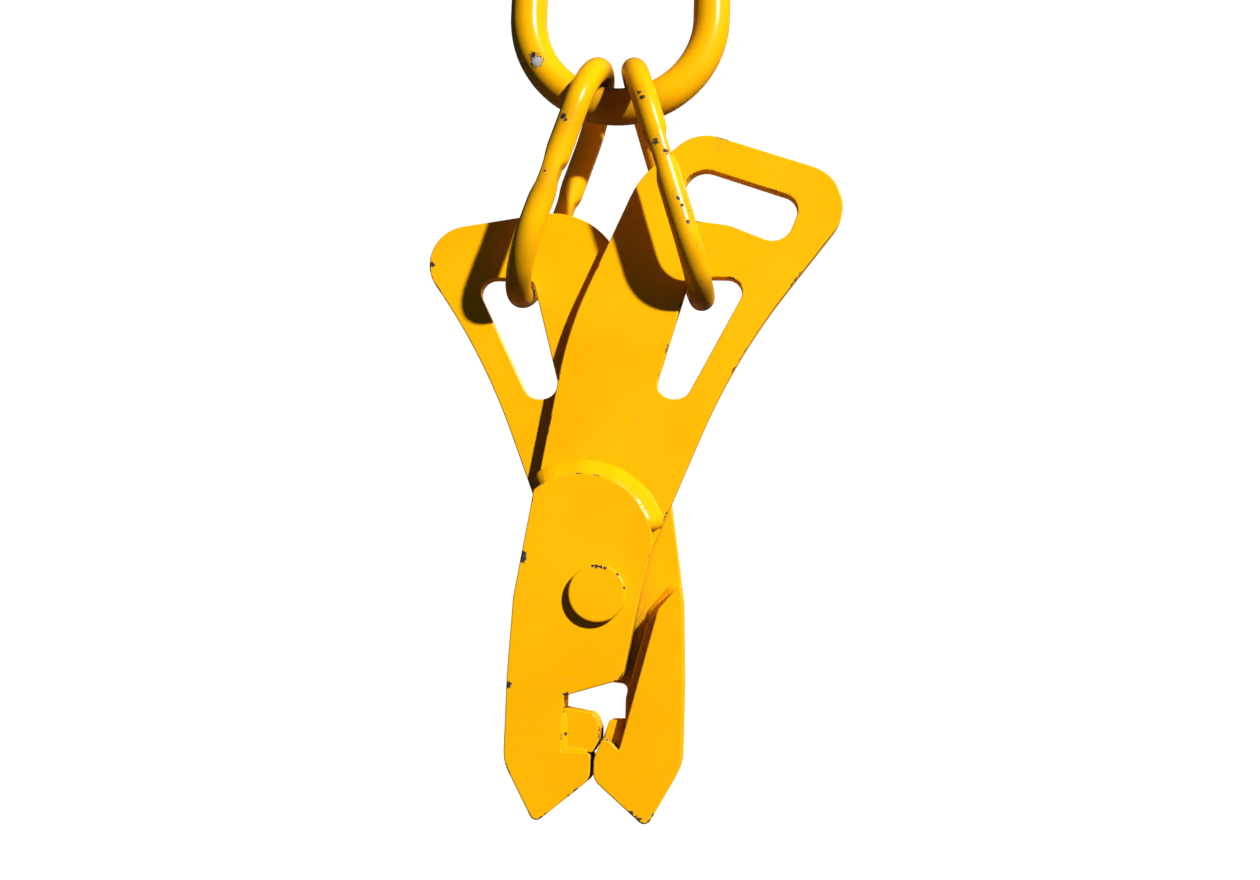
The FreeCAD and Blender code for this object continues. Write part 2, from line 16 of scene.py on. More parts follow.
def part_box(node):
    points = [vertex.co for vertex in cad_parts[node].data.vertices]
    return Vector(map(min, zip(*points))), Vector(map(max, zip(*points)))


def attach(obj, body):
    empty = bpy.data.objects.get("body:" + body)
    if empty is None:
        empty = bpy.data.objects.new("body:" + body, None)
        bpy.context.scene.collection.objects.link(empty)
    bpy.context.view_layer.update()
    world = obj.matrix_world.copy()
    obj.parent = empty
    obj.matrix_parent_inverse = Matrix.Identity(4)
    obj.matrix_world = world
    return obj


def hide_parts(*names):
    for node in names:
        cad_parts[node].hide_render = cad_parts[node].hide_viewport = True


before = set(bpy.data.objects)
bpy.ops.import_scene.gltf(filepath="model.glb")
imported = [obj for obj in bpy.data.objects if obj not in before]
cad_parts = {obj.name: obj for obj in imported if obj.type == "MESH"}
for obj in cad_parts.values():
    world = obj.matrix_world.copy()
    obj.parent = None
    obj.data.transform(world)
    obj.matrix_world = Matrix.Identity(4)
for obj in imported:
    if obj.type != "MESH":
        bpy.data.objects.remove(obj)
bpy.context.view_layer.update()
pin_low, pin_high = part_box("pivot_pin")
PIVOT = Vector((0, 0, (pin_low.z + pin_high.z) / 2))
print("nodes:", len(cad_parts), "pin height:", round(PIVOT.z, 4))

# %% [markdown]
# ## Camera
# The picture was taken from a little below the pin and slightly to the right, and the tongs lean a
# touch. A camera can be turned by angles or aimed with a constraint. Here its three axes are worked
# out from the bearing and put in its matrix, because the lean is then one more turn of two axes.

# %% Place the camera
AZIMUTH = radians(4.05)
ELEVATION = radians(-7.73)
LEAN = radians(1.83)
DISTANCE = 1.5653
AIM = PIVOT + Vector((0.0245, 0, 0.1556))
SENSOR = 36
PHOTO_WIDTH = 1260
FOCAL_PIXELS = 1560
back = Vector((sin(AZIMUTH) * cos(ELEVATION), -cos(AZIMUTH) * cos(ELEVATION), sin(ELEVATION)))
level = Vector((cos(AZIMUTH), sin(AZIMUTH), 0))
rise = back.cross(level)
right = level * cos(LEAN) + rise * sin(LEAN)
up = rise * cos(LEAN) - level * sin(LEAN)
camera_data = bpy.data.cameras.new("photo_camera")
camera_data.sensor_width = SENSOR
camera_data.lens = SENSOR * FOCAL_PIXELS / PHOTO_WIDTH
camera = bpy.data.objects.new("photo_camera", camera_data)
stand = Matrix((right, up, back)).transposed().to_4x4()
stand.translation = AIM + back * DISTANCE
camera.matrix_world = stand
bpy.context.scene.collection.objects.link(camera)
bpy.context.scene.camera = camera
print("camera at", [round(v, 3) for v in camera.location])

# %% [markdown]
# ## Node helpers
# Every finish below is a small network of shader nodes. Wiring them by hand repeats the same three
# steps: make a node, set it, link it. One helper does all three, so a finish reads like a list. Two
# more make a ramp of two tones and close the network with its shader.

# %% Write the node helpers
def add(tree, kind, sockets, **settings):
    made = tree.nodes.new("ShaderNode" + kind)
    for key, value in settings.items():
        setattr(made, key, value)
    for key, value in sockets.items():
        if isinstance(value, bpy.types.NodeSocket):
            tree.links.new(value, made.inputs[key])
        else:
            made.inputs[key].default_value = value
    return made


def new_finish(name):
    finish = bpy.data.materials.new(name)
    finish.use_nodes = True
    finish.node_tree.nodes.clear()
    return finish, finish.node_tree


def two_tone(tree, share, dark, light, start=0.0, end=1.0):
    ramp = add(tree, "ValToRGB", {"Fac": share})
    for stop, place, tone in zip(ramp.color_ramp.elements, (start, end), (dark, light)):
        stop.position = place
        stop.color = (*tone, 1)
    return ramp.outputs["Color"]


def shade(tree, sockets):
    shader = add(tree, "BsdfPrincipled", sockets)
    add(tree, "OutputMaterial", {"Surface": shader.outputs["BSDF"]})


print("node helpers ready")

# %% [markdown]
# The same few sums come back in each finish: a product, a noise, a step between two values, a
# spot's reach and a mix of two colours. Each is one node, or two, and gets a short name here, so the
# finishes below can be read without thinking of sockets.

# %% Write the sums that the finishes share
def maths(tree, operation, first, second):
    return add(tree, "Math", {0: first, 1: second}, operation=operation).outputs["Value"]


def grade(tree, value, low, high, start=0.0, end=1.0):
    return add(tree, "MapRange", {"Value": value, "From Min": low, "From Max": high,
                                  "To Min": start, "To Max": end}).outputs["Result"]


def between(tree, value, low, high):
    return add(tree, "MapRange", {"Value": value, "From Min": low, "From Max": high},
               interpolation_type="SMOOTHSTEP").outputs["Result"]


def noise(tree, place, scale, detail):
    return add(tree, "TexNoise", {"Vector": place, "Scale": scale, "Detail": detail}).outputs["Fac"]


def distance(tree, place, spot):
    return add(tree, "VectorMath", {0: place, 1: spot}, operation="DISTANCE").outputs["Value"]


def near(tree, place, spot, size):
    return between(tree, distance(tree, place, spot), size, 0.0)


def blend(tree, share, under, over):
    return add(tree, "MixRGB", {"Fac": share, "Color1": under, "Color2": over}).outputs["Color"]


print("sums ready")

# %% [markdown]
# ## Studio
# The tongs hang in front of plain white. A floor that curves up into a wall has no corner to show,
# so one outline, bent round a quarter circle, is drawn out sideways. It goes on overhead and is shut
# at both ends, so that every other view has plain paper behind the tongs too. Bright paper all
# round would fill the shadows, which are deep in the picture, so light doesn't bounce off it.

# %% Bend the backdrop
FLOOR = -2.0
CEILING = 9.0
WALL = 6.0
FRONT = -20.0
SIDE = 20.0
BEND = 1.2
BEND_STEPS = 16
profile = [(FRONT, FLOOR), (WALL - BEND, FLOOR)]
for step in range(1, BEND_STEPS + 1):
    turn = radians(90 * step / BEND_STEPS)
    profile.append((WALL - BEND + BEND * sin(turn), FLOOR + BEND - BEND * cos(turn)))
profile += [(WALL, CEILING), (FRONT, CEILING)]
corners = [(x, y, z) for y, z in profile for x in (-SIDE, SIDE)]
count = len(corners)
sheets = [(i, i + 1, (i + 3) % count, (i + 2) % count) for i in range(0, count, 2)]
sheets += [range(0, count, 2), range(1, count, 2)]
backdrop_mesh = bpy.data.meshes.new("studio_sweep")
backdrop_mesh.from_pydata(corners, [], sheets)
backdrop_mesh.polygons.foreach_set("use_smooth", [True] * len(sheets))
backdrop = bpy.data.objects.new("studio_sweep", backdrop_mesh)
backdrop.visible_diffuse = False
backdrop.visible_glossy = False
backdrop.visible_shadow = False
bpy.context.scene.collection.objects.link(backdrop)
print("backdrop faces:", len(sheets))

# %% [markdown]
# The paper fades from pale grey under the tongs to white behind them. Its own glow carries that,
# because the key light falls on the tongs alone. A faint noise keeps the fade from looking drawn
# with a ruler.

# %% Finish the paper
PALE = (0.75, 0.75, 0.75)
WHITE = (0.92, 0.92, 0.92)
paper, tree = new_finish("white_paper")
place = add(tree, "TexCoord", {}).outputs["Object"]
depth = add(tree, "SeparateXYZ", {0: place}).outputs["Y"]
uneven = maths(tree, "ADD", maths(tree, "MULTIPLY", noise(tree, place, 3.0, 4.0), 0.25), depth)
fade = grade(tree, uneven, 0.9, 2.6)
far = grade(tree, distance(tree, place, (0, 0, FLOOR)), 3.0, 8.0, 0.45, 0.55)
glow = maths(tree, "MAXIMUM", maths(tree, "MULTIPLY", fade, 1.05), far)
shade(tree, {"Base Color": two_tone(tree, fade, PALE, WHITE), "Roughness": 0.9,
             "Emission Color": (1, 1, 1, 1), "Emission Strength": glow})
backdrop_mesh.materials.append(paper)
print("paper nodes:", len(tree.nodes))

# %% [markdown]
# ## Light
# One strong light stands at the front right, nearly a third of the way up, and throws the shadows
# of the links onto the arms. A sun lamp would have rays that are just parallel. A spot lamp far away
# comes close to that, and its narrow cone can be kept to the tongs. Its size softens the shadows as
# a studio diffuser does.

# %% Hang the key light
MIDDLE = PIVOT + Vector((0, 0, 0.3))
KEY_DISTANCE = 8.0


def hang_light(name, kind, offset, energy):
    lamp = bpy.data.objects.new(name, bpy.data.lights.new(name, kind))
    lamp.data.energy = energy
    lamp.location = MIDDLE + offset
    lamp.rotation_euler = offset.to_track_quat("Z", "Y").to_euler()
    bpy.context.scene.collection.objects.link(lamp)
    return lamp


key = hang_light("key_spot", "SPOT", Vector((7.9, -9.0, 6.5)).normalized() * KEY_DISTANCE, 5500)
key.data.spot_size = radians(11.5)
key.data.spot_blend = 0.2
key.data.shadow_soft_size = 0.16
key.data.color = (1.0, 0.97, 0.92)
print("key light at", [round(v, 2) for v in key.location])

# %% [markdown]
# The back would be black in other views, so a large soft light hangs behind the tongs, above and to
# one side. The camera doesn't see it, and no mirror of it shows on the paint, where it would leave
# pale rims. A dim, cool sky gives the shadows the little light that they have.

# %% Light the back and the shadows
softbox = hang_light("back_softbox", "AREA", Vector((1.2, 2.6, 1.4)), 160)
softbox.data.size = 2.0
softbox.visible_camera = False
softbox.visible_glossy = False
sky = bpy.data.worlds.new("pale_sky")
sky.use_nodes = True
sky_light = sky.node_tree.nodes["Background"]
sky_light.inputs["Color"].default_value = (0.8, 0.95, 1.0, 1)
sky_light.inputs["Strength"].default_value = 0.05
bpy.context.scene.world = sky
bpy.context.scene.view_settings.view_transform = "Standard"
print("softbox at", [round(v, 2) for v in softbox.location])

# %% [markdown]
# ## Yellow enamel
# The paint is thick and glossy, a warm chrome yellow with broad, faint changes of tone. It has
# orange peel, drag lines on the flame-cut edges, dirt in the corners, and chips down to dark steel.
# It could be painted by hand on an unwrapped mesh. Here all of it is worked out from each point's
# place on the piece, so nothing is unwrapped, and each chip is put where the real one is.
#
# Paint is lost in three ways. Sparse flakes leave the edges anywhere. Knocks are known places where
# an edge was hit, and only the edge itself is bare there. Chips are patches on a face or a bar. A
# fine noise makes the outline of all three ragged. Each gives a value from 0 for paint to 1 for
# bare. The meshes carry a value called `edge` that says where the paint is thin.

# %% Break the paint
def flaked_edges(tree, place, edge, flake):
    chosen = between(tree, noise(tree, place, 36.0, 2.0), 0.63, 0.68)
    ragged = between(tree, maths(tree, "MULTIPLY", flake, edge), 0.44, 0.5)
    return maths(tree, "MULTIPLY", chosen, ragged)


def knock(tree, place, edge, flake, spot, size):
    chosen = between(tree, near(tree, place, spot, size), 0.2, 0.5)
    ragged = between(tree, maths(tree, "MULTIPLY", flake, edge), 0.4, 0.47)
    return maths(tree, "MULTIPLY", chosen, ragged)


def chip(tree, place, flake, spot, size):
    ragged = maths(tree, "ADD", near(tree, place, spot, size), maths(tree, "MULTIPLY", flake, 2.0))
    return between(tree, ragged, 1.41, 1.49)


def lost_paint(tree, place, flake, knocks, chips):
    edge = add(tree, "Attribute", {}, attribute_name="edge").outputs["Fac"]
    bare = flaked_edges(tree, place, edge, flake)
    for spot, size in knocks:
        bare = maths(tree, "MAXIMUM", bare, knock(tree, place, edge, flake, spot, size))
    for spot, size in chips:
        bare = maths(tree, "MAXIMUM", bare, chip(tree, place, flake, spot, size))
    return bare


print("paint losses ready")

# %% [markdown]
# Under the paint is steel: nearly black brown where it has rusted, a little paler in the grain, and
# bright grey in a fresh knock. The rust is a ramp on the same fine noise, and each bright place is
# one more ragged patch laid over it.

# %% Colour the bare steel
RUST = (0.016, 0.008, 0.004)
DULL_STEEL = (0.09, 0.07, 0.055)
BRIGHT_STEEL = (0.36, 0.37, 0.4, 1)


def bare_steel(tree, place, flake, shines):
    metal = two_tone(tree, flake, RUST, DULL_STEEL, 0.4, 0.8)
    for spot, size in shines:
        metal = blend(tree, chip(tree, place, flake, spot, size), metal, BRIGHT_STEEL)
    return metal


print("bright steel:", BRIGHT_STEEL[:3])

# %% [markdown]
# Dirt and shade are both painted into the colour here. Where two plates meet, ambient occlusion
# measures how shut in a point is, and the colour is darkened there: this is painted shade. Hands and
# rubbing leave smudges on the links, each a thin veil with fine dark specks in it. Where bar rubs on
# bar, under the bends, the veil is deep and nearly hides the paint, and it is painted shade there.

# %% Gather the dirt and paint the corner shade
# Painted shade: the colour darkens where ambient occlusion finds a point shut in.
def corner_shade(tree, place):
    shut = add(tree, "AmbientOcclusion", {"Distance": 0.03}, samples=6).outputs["AO"]
    patchy = between(tree, noise(tree, place, 85.0, 4.0), 0.1, 0.5)
    return maths(tree, "MULTIPLY", grade(tree, shut, 0.45, 0.1), patchy)


# A thin veil is a real smudge; a deep one is painted shade.
def smudge_and_shade(tree, place, flake, spot, size, depth):
    reach = near(tree, place, spot, size)
    veil = maths(tree, "MULTIPLY", reach, depth)
    specks = maths(tree, "MULTIPLY", between(tree, flake, 0.63, 0.7), between(tree, reach, 0.05, 0.4))
    return maths(tree, "MAXIMUM", veil, specks)


def gathered_dirt_and_shade(tree, place, flake, smudges_and_shade):
    dirt_and_shade = corner_shade(tree, place)
    for spot, size, depth in smudges_and_shade:
        dirt_and_shade = maths(tree, "MAXIMUM", dirt_and_shade, smudge_and_shade(tree, place, flake, spot, size, depth))
    return dirt_and_shade


print("dirt ready")

# %% [markdown]
# The relief of the paint is a bump: peel everywhere, drag lines on the cut edges only, and a step
# down into each bare patch. A cut edge is a face of a flame-cut piece whose normal doesn't point
# along the pin. The meshes carry a second value, `cut`, that says which pieces those are.

# %% Raise the relief
def cut_edges(tree):
    normal = add(tree, "NewGeometry", {}).outputs["Normal"]
    facing = add(tree, "SeparateXYZ", {0: normal}).outputs["Y"]
    edge_on = between(tree, maths(tree, "ABSOLUTE", facing, 0.0), 0.6, 0.2)
    flame = add(tree, "Attribute", {}, attribute_name="cut").outputs["Fac"]
    return maths(tree, "MULTIPLY", edge_on, flame)


def paint_relief(tree, place, bare, cut):
    drawn = add(tree, "Mapping", {"Vector": place, "Scale": (1.0, 0.04, 1.0)}).outputs["Vector"]
    lines = maths(tree, "MULTIPLY", noise(tree, drawn, 420.0, 2.0), cut)
    peel = maths(tree, "MULTIPLY", noise(tree, place, 240.0, 2.0), 0.1)
    height = maths(tree, "SUBTRACT", maths(tree, "ADD", peel, lines), bare)
    return add(tree, "Bump", {"Height": height, "Strength": 0.35, "Distance": 0.0006}).outputs["Normal"]


print("relief ready")

# %% [markdown]
# The enamel puts these together. The tone comes from a broad noise, dirt and painted shade are laid
# over it, and bare steel over that. Gloss follows: paint is smooth, and cut edges, dirt, painted
# shade and bare steel are duller. A mirror of the studio would show as pale rims on the round bars,
# so the specular level is low.

# %% Mix the enamel
DEEP_YELLOW = (0.73, 0.342, 0.0005)
LIGHT_YELLOW = (0.78, 0.38, 0.001)
# This dark brown is used for the dirt and for the painted shade.
GRIME_AND_SHADE = (0.075, 0.032, 0.004, 1)


def enamel(name, knocks=(), chips=(), shines=(), smudges_and_shade=()):
    finish, tree = new_finish(name)
    place = add(tree, "TexCoord", {}).outputs["Object"]
    broad = noise(tree, place, 11.0, 3.0)
    flake = noise(tree, place, 480.0, 4.0)
    coat = two_tone(tree, broad, DEEP_YELLOW, LIGHT_YELLOW, 0.3, 0.7)
    bare = lost_paint(tree, place, flake, knocks, chips)
    dirt_and_shade = gathered_dirt_and_shade(tree, place, flake, smudges_and_shade)
    # Dirt and painted shade darken the coat here.
    soiled_and_shaded = blend(tree, dirt_and_shade, coat, GRIME_AND_SHADE)
    cut = cut_edges(tree)
    dull = maths(tree, "MAXIMUM", maths(tree, "MAXIMUM", cut, dirt_and_shade), bare)
    smooth = maths(tree, "ADD", maths(tree, "MULTIPLY", broad, 0.12), 0.16)
    shade(tree, {"Base Color": blend(tree, bare, soiled_and_shaded, bare_steel(tree, place, flake, shines)),
                 "Roughness": maths(tree, "ADD", smooth, maths(tree, "MULTIPLY", dull, 0.4)),
                 "Specular IOR Level": 0.2,
                 "Normal": paint_relief(tree, place, bare, cut)})
    return finish


plain_enamel = enamel("yellow_enamel")
print("enamel nodes:", len(plain_enamel.node_tree.nodes))

# %% [markdown]
# ## Mesh helpers
# All pieces are made from rows of points. One helper lays four-sided faces between the rows, and
# another closes the two ends. The third turns points and faces into a closed mesh, makes the
# normals face out, and hands the piece to the body it moves with. It also stores the two values
# that the enamel reads. The weighted normals keep wide flat faces flat next to round edges.

# %% Write the mesh helpers
def skin(rows, around, start=0, joined=False):
    faces = []
    for row in range(rows if joined else rows - 1):
        here = start + row * around
        onward = start + (row + 1) % rows * around
        for k in range(around):
            m = (k + 1) % around
            faces.append((here + k, here + m, onward + m, onward + k))
    return faces


def ends(rows, around):
    return [range(around), range((rows - 1) * around, rows * around)]


def make_piece(name, points, faces, body, node, finish, wear=None, flame=0.0):
    mesh = bpy.data.meshes.new(name)
    mesh.from_pydata([Vector(p) for p in points], [], faces)
    shaped = bmesh.new()
    shaped.from_mesh(mesh)
    bmesh.ops.recalc_face_normals(shaped, faces=shaped.faces)
    shaped.to_mesh(mesh)
    shaped.free()
    mesh.polygons.foreach_set("use_smooth", [True] * len(mesh.polygons))
    for value, row in (("edge", wear or [0.0] * len(points)), ("cut", [flame] * len(points))):
        mesh.attributes.new(value, "FLOAT", "POINT").data.foreach_set("value", row)
    mesh.materials.append(finish)
    piece = bpy.data.objects.new(name, mesh)
    bpy.context.scene.collection.objects.link(piece)
    flat = piece.modifiers.new("flat_faces", "WEIGHTED_NORMAL")
    flat.weight = 80
    flat.keep_sharp = True
    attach(piece, body)
    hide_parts(node)
    return piece


print("mesh helpers ready")

# %% [markdown]
# ## Plates
# The arms, cheeks, fillers, guards and teeth are all plates cut out with a flame. Paint rounds
# their edges to a millimetre or so. A bevel on the solid's own mesh would trip over its many thin
# triangles, so each plate is made again. The first step is to walk round the outline of its face:
# a side that only one of the face's triangles has is on the outline. Long sides are then divided
# and very short ones dropped, so that all the points are about evenly spaced.

# %% Walk round a plate's outline
LONGEST_SIDE = 0.005
SHORTEST_SIDE = 0.0003


def outline_loops(node):
    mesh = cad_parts[node].data
    front = min(v.co.y for v in mesh.vertices)
    onward = {}
    for face in mesh.polygons:
        spots = [mesh.vertices[i].co for i in face.vertices]
        if max(s.y for s in spots) - front < 1e-5:
            ring = [(round(s.x, 6), round(s.z, 6)) for s in spots]
            for start, end in zip(ring, ring[1:] + ring[:1]):
                if onward.get(end) and start in onward[end]:
                    onward[end].remove(start)
                else:
                    onward.setdefault(start, set()).add(end)
    loops = []
    starts = {start: ends_at.pop() for start, ends_at in onward.items() if ends_at}
    while starts:
        first = next(iter(starts))
        loop = [first]
        step = starts.pop(first)
        while step != first:
            loop.append(step)
            step = starts.pop(step)
        loops.append(loop)
    return loops


def even_out(loop):
    kept = [loop[0]]
    for spot in loop[1:]:
        if hypot(spot[0] - kept[-1][0], spot[1] - kept[-1][1]) > SHORTEST_SIDE:
            kept.append(spot)
    spread = []
    for start, end in zip(kept, kept[1:] + kept[:1]):
        parts = max(1, ceil(hypot(end[0] - start[0], end[1] - start[1]) / LONGEST_SIDE))
        for part in range(parts):
            share = part / parts
            spread.append((start[0] + (end[0] - start[0]) * share,
                           start[1] + (end[1] - start[1]) * share))
    return spread


print("outline of the handle arm:", [len(loop) for loop in outline_loops("handle_arm_plate")])

# %% [markdown]
# Stepping an outline inwards moves each point along the middle of its two sides' normals. The rows
# of points then run from the front face round the front edge, across the cut wall and round the
# back edge. The wear value is one on the rounded edges and nearly nothing elsewhere.

# %% Round a plate's edges
ROUNDING = 0.0013
MARGIN = 0.0007
SHARPEST = 0.3


def step_in(loop, depth):
    moved = []
    for before, here, after in zip(loop[-1:] + loop[:-1], loop, loop[1:] + loop[:1]):
        first = Vector((here[0] - before[0], here[1] - before[1])).normalized()
        second = Vector((after[0] - here[0], after[1] - here[1])).normalized()
        inward = Vector((-first.y - second.y, first.x + second.x))
        inward /= max(SHARPEST, 1 + first.dot(second))
        moved.append((here[0] + depth * inward.x, here[1] + depth * inward.y))
    return moved


def edge_rows(front, rear):
    turns = [radians(angle) for angle in (0, 30, 60, 90)]
    rounded = [(ROUNDING * (1 - sin(turn)), ROUNDING * (1 - cos(turn))) for turn in turns]
    rows = [(ROUNDING + MARGIN, front, 0.0)]
    rows += [(inset, front + depth, 1.0) for inset, depth in rounded]
    rows += [(0.0, front + (rear - front) * share, 0.2) for share in (0.3, 0.5, 0.7)]
    rows += [(inset, rear - depth, 1.0) for inset, depth in reversed(rounded)]
    rows.append((ROUNDING + MARGIN, rear, 0.0))
    return rows


print("rows round an edge:", len(edge_rows(0.0, 0.016)))

# %% [markdown]
# What is left of the face is filled with triangles. Blender can do that for an outline with holes,
# but it fills the holes too. So a triangle stays only where a line to its right crosses the outline
# an odd number of times, which means that its middle is in the metal. The rear face is the same.

# %% Fill and cut a plate
def in_metal(spot, sides):
    crossed = [a.x + (spot.y - a.y) * (b.x - a.x) / (b.y - a.y) > spot.x
               for a, b in sides if (a.y > spot.y) != (b.y > spot.y)]
    return sum(crossed) % 2 == 1


def front_triangles(points, rims):
    flat, sides, numbers = [], [], []
    for start, count in rims:
        offset = len(flat)
        numbers += range(start, start + count)
        flat += [Vector((points[i][0], points[i][2])) for i in range(start, start + count)]
        sides += [(offset + i, offset + (i + 1) % count) for i in range(count)]
    spots, _, triangles, sources, _, _ = delaunay_2d_cdt(flat, sides, [], 1, 1e-7)
    rim_sides = [(flat[a], flat[b]) for a, b in sides]
    middles = [sum((spots[i] for i in corner), Vector((0, 0))) / 3 for corner in triangles]
    return [[numbers[sources[i][0]] for i in corner]
            for corner, middle in zip(triangles, middles) if in_metal(middle, rim_sides)]


def flame_cut(name, node, body, finish):
    low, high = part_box(node)
    rows = edge_rows(low.y, high.y)
    points, faces, wear, rims, rear = [], [], [], [], {}
    for loop in [even_out(ring) for ring in outline_loops(node)]:
        count = len(loop)
        start = len(points)
        for depth, y, worn in rows:
            points += [(x, y, z) for x, z in step_in(loop, depth)]
            wear += [worn] * count
        faces += skin(len(rows), count, start)
        rims.append((start, count))
        rear.update({i: i + (len(rows) - 1) * count for i in range(start, start + count)})
    front = front_triangles(points, rims)
    faces += front + [[rear[i] for i in corner] for corner in front]
    return make_piece(name, points, faces, body, node, finish, wear, flame=1.0)


print("plate cutter ready")

# %% [markdown]
# ## Handle arm
# The front arm ends in a hand hole. It carries a cheek over its jaw, and a filler and a guard that
# take the jaw across to the other side, so both jaws close in one plane. Its marks are where the
# real arm was knocked: on the outer edges and the point of the jaw. They are given in millimetres
# from the pin, because that is how they were measured, and their depth is that of the plate's face.

# %% Cut the handle arm's plates
def marks(origin, *places):
    return [(origin + Vector(place[:3]) / 1000, place[3] / 1000, *place[4:]) for place in places]


def face_of(node):
    return Vector((0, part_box(node)[0].y, PIVOT.z))


arm_face = face_of("handle_arm_plate")
cheek_face = face_of("handle_arm_cheek")
handle_knocks = marks(arm_face, (57.8, 0, 247, 9), (130, 0, 224, 9), (109, 0, 461, 12))
handle_knocks += marks(cheek_face, (-80, 0, -169, 10), (-50, 0, -216, 20))
handle_chips = marks(cheek_face, (-75, 0, 32, 8), (-74, 0, 37, 5), (-84, 0, -90, 6),
                     (-14, 0, -190, 7), (-20, 0, -195, 5.5), (-27, 0, -98, 5))
handle_chips += marks(face_of("handle_jaw_tooth"), (-26, 0, -135, 3.5))
handle_chips += marks(PIVOT, (10.5, -29, 127.6, 4), (18.6, -29, 119, 3.5))
handle_smudges_and_shade = marks(arm_face, (108, 0, 457, 14, 0.1), (175, 0, 400, 20, 0.1))
# Painted shade: a deep dark patch where the cheek's bead ends against the cheek.
handle_smudges_and_shade += marks(PIVOT, (-64, -24, 103, 14, 0.35))
handle_enamel = enamel("handle_arm_enamel", handle_knocks, handle_chips, smudges_and_shade=handle_smudges_and_shade)
flame_cut("handle_arm", "handle_arm_plate", "handle_arm", handle_enamel)
flame_cut("handle_cheek", "handle_arm_cheek", "handle_arm", handle_enamel)
flame_cut("handle_filler", "handle_jaw_spacer", "handle_arm", plain_enamel)
flame_cut("handle_guard", "handle_jaw_guard", "handle_arm", plain_enamel)
flame_cut("handle_tooth", "handle_jaw_tooth", "handle_arm", plain_enamel)
print("handle arm marks:", len(handle_knocks), "knocks,", len(handle_chips), "chips")

# %% [markdown]
# ## Plain arm
# The rear arm stops above its slot. From the front, its guard and the point of its jaw show beside
# the handle arm's cheek. The same cutter makes its five plates, and only the marks are its own: a
# few on the shoulder, and a row of chips along the point of the jaw.

# %% Cut the plain arm's plates
rear_face = face_of("plain_arm_plate")
guard_face = face_of("plain_jaw_guard")
plain_knocks = marks(rear_face, (-187, 0, 333, 11), (-181, 0, 307, 12))
plain_knocks += marks(guard_face, (52, 0, -214, 20))
plain_chips = marks(rear_face, (-187, 0, 333, 7), (-181, 0, 307, 6), (-165, 0, 276, 4))
plain_chips += marks(guard_face, (38, 0, -208, 5.5), (45, 0, -214, 7.5), (50, 0, -218, 5),
                     (58, 0, -216, 7), (63, 0, -209, 5))
plain_arm_enamel = enamel("plain_arm_enamel", plain_knocks, plain_chips)
flame_cut("plain_arm", "plain_arm_plate", "plain_arm", plain_arm_enamel)
flame_cut("plain_cheek", "plain_arm_cheek", "plain_arm", plain_enamel)
flame_cut("plain_filler", "plain_jaw_spacer", "plain_arm", plain_arm_enamel)
flame_cut("plain_guard", "plain_jaw_guard", "plain_arm", plain_arm_enamel)
flame_cut("plain_tooth", "plain_jaw_tooth", "plain_arm", plain_enamel)
print("plain arm marks:", len(plain_knocks), "knocks,", len(plain_chips), "chips")

# %% [markdown]
# ## Ring and oblong links
# These are round bars bent into oblong loops and welded shut. A curve with a round bevel would do
# for the ring, but the oblong links are pressed flat for a short way halfway down each leg. So the
# bar is swept in code: a row of section points at each step along the loop, and the section is
# squeezed where the press has been. Each step has its place in the loop and the direction outwards.

# %% Sweep a bar round a loop
BAR_SPACING = 0.004
BAR_AROUND = 32


def oblong(radius, straight):
    steps = []
    arc_count = ceil(pi * radius / BAR_SPACING)
    leg_count = ceil(straight / BAR_SPACING)
    for side in (1, -1):
        for i in range(arc_count):
            turn = pi * i / arc_count
            steps.append((side * radius * cos(turn), side * (straight / 2 + radius * sin(turn)),
                          side * cos(turn), side * sin(turn)))
        for i in range(leg_count):
            along = straight / 2 - straight * i / leg_count
            steps.append((-side * radius, side * along, -side, 0.0))
    return steps


def sweep_bar(name, node, body, finish, centre, across, down, radius, straight, bar, press=None):
    normal = across.cross(down)
    steps = oblong(radius, straight)
    points = []
    for u, v, out_u, out_v in steps:
        middle = centre + across * u + down * v
        outward = across * out_u + down * out_v
        left, right, wide = press(v) if press and out_v == 0 else (bar / 2, bar / 2, 1.0)
        for k in range(BAR_AROUND):
            angle = 2 * pi * k / BAR_AROUND
            lift = max(-right, min(left, bar / 2 * sin(angle)))
            points.append(middle + outward * (bar / 2 * cos(angle) * wide) + normal * lift)
    faces = skin(len(steps), BAR_AROUND, joined=True)
    return make_piece(name, points, faces, body, node, finish)


print("steps round a small loop:", len(oblong(0.02, 0.04)))

# %% [markdown]
# The ring is the plain case: one thickness of bar all round. Its sizes come from the box of the
# solid. A fresh knock low on its left side is bright inside. The inside of its lower bend, where the
# two links hang, is darkened with painted shade.

# %% Bend the ring
ring_low, ring_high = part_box("master_link")
ring_middle = (ring_low + ring_high) / 2
ring_bar = ring_high.y - ring_low.y
ring_width = ring_high.x - ring_low.x
ring_straight = ring_high.z - ring_low.z - ring_width
# Painted shade: two deep dark patches inside the lower bend, where the links hang.
ring_enamel = enamel("ring_enamel",
                     chips=marks(ring_middle, (-83, -17.5, -112.5, 13), (-86.5, -16.5, -107, 8)),
                     shines=marks(ring_middle, (-82.5, -17.5, -113.2, 9.5)),
                     smudges_and_shade=marks(ring_middle, (0, -6, -154, 70, 0.55), (0, -10, -132, 30, 0.8)))
sweep_bar("lifting_ring", "master_link", "hanger", ring_enamel, ring_middle, Vector((1, 0, 0)),
          Vector((0, 0, -1)), (ring_width - ring_bar) / 2, ring_straight, ring_bar)
print("ring:", round(ring_width, 4), "wide with", round(ring_straight, 4), "of straight leg")

